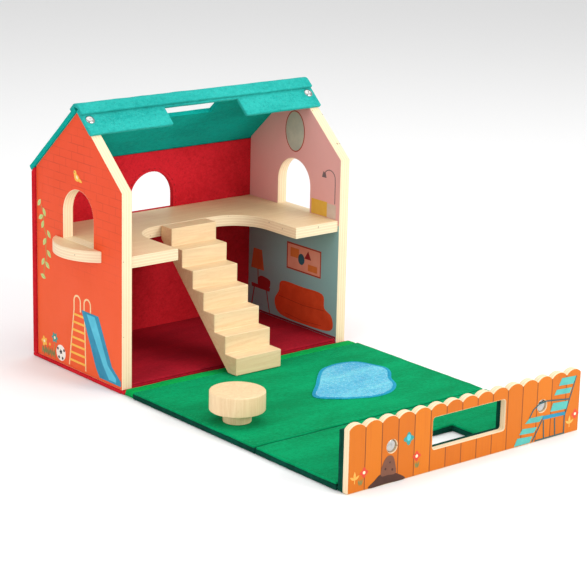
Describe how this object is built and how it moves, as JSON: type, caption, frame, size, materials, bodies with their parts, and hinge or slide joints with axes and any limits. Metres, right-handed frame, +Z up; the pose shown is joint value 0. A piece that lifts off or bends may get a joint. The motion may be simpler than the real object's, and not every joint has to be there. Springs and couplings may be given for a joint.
{
  "type": "folding toy house",
  "caption": "Portable toy house with plywood gable walls in a felt shell; the front folds down into a lawn with a fence, with loose stairs and a round table.",
  "frame": {"origin": "middle of the underside of the house, on the surface it stands on, half way between the gable walls and half way along their depth", "axes": "+X along the ridge to the pink gable wall, -Y out of the open front over the lawn, +Z up"},
  "size_m": [0.302, 0.4872, 0.2694],
  "materials": {
    "wall_print_red": "satin print on birch plywood",
    "wall_print_pink": "satin print on birch plywood",
    "birch_ply": "sanded and clear sealed",
    "solid_beech": "sanded and clear sealed",
    "fence_print": "satin print on birch plywood",
    "grey_board": "raw fibreboard, hidden",
    "felt_red": "matt felt",
    "felt_maroon": "matt felt",
    "felt_green": "matt felt",
    "felt_dark_green": "matt felt",
    "felt_teal": "matt felt",
    "felt_aqua": "matt felt",
    "felt_blue": "matt felt",
    "bright_metal": "polished",
    "steel_plate": "plain, hidden"
  },
  "bodies": {
    "house": {"left_wall": "wall_print_red", "right_wall": "wall_print_pink", "upper_floor": "birch_ply", "balcony": "birch_ply", "floor_dowels": "solid_beech", "base_felt": "felt_red", "base_board": "grey_board", "floor_lining": "felt_maroon", "back_lining": "felt_red", "back_board": "grey_board", "back_felt": "felt_red", "roof_lining": "felt_teal", "roof_board": "grey_board", "roof_felt": "felt_teal", "roof_plates": "steel_plate", "ridge_band": "felt_aqua", "roof_flap": "felt_aqua", "flap_rivets": "bright_metal"},
    "lawn": {"hinge_strip": "felt_green", "lawn_underfelt": "felt_dark_green", "lawn_board": "grey_board", "lawn_felt": "felt_green", "pool_patch": "felt_blue"},
    "front_roof": {"front_roof_underfelt": "felt_dark_green", "front_roof_board": "grey_board", "front_roof_felt": "felt_green"},
    "fence_panel": {"fence_backing": "felt_dark_green", "fence_core": "grey_board", "fence": "fence_print", "fence_magnets": "bright_metal"},
    "stair_block": {"stairs": "solid_beech"},
    "table": {"table_foot": "solid_beech", "table_top": "solid_beech"}
  },
  "joints": [
    {"name": "lawn_fold", "type": "hinge", "parent": "house", "child": "lawn", "pos_m": [0, -0.079, 0.003], "axis": [-1, 0, 0], "range_deg": [0, 90]},
    {"name": "front_roof_fold", "type": "hinge", "parent": "lawn", "child": "front_roof", "pos_m": [0, -0.28, 0.007], "axis": [-1, 0, 0], "range_deg": [0, 45.5]},
    {"name": "fence_fold", "type": "hinge", "parent": "front_roof", "child": "fence_panel", "pos_m": [0, -0.3905, 0.003], "axis": [-1, 0, 0], "range_deg": [0, 8]},
    {"name": "stairs_lift", "type": "slide", "parent": "house", "child": "stair_block", "axis": [0, -0.4384, 0.8988], "range_m": [0, 0.67]},
    {"name": "table_lift", "type": "slide", "parent": "house", "child": "table", "axis": [0, 0, 1], "range_m": [0, 0.57]}
  ],
  "couplings": [
    {"joint": "stairs_lift", "follows": "lawn_fold", "m_per_rad": 0.42},
    {"joint": "table_lift", "follows": "lawn_fold", "m_per_rad": 0.36}
  ]
}
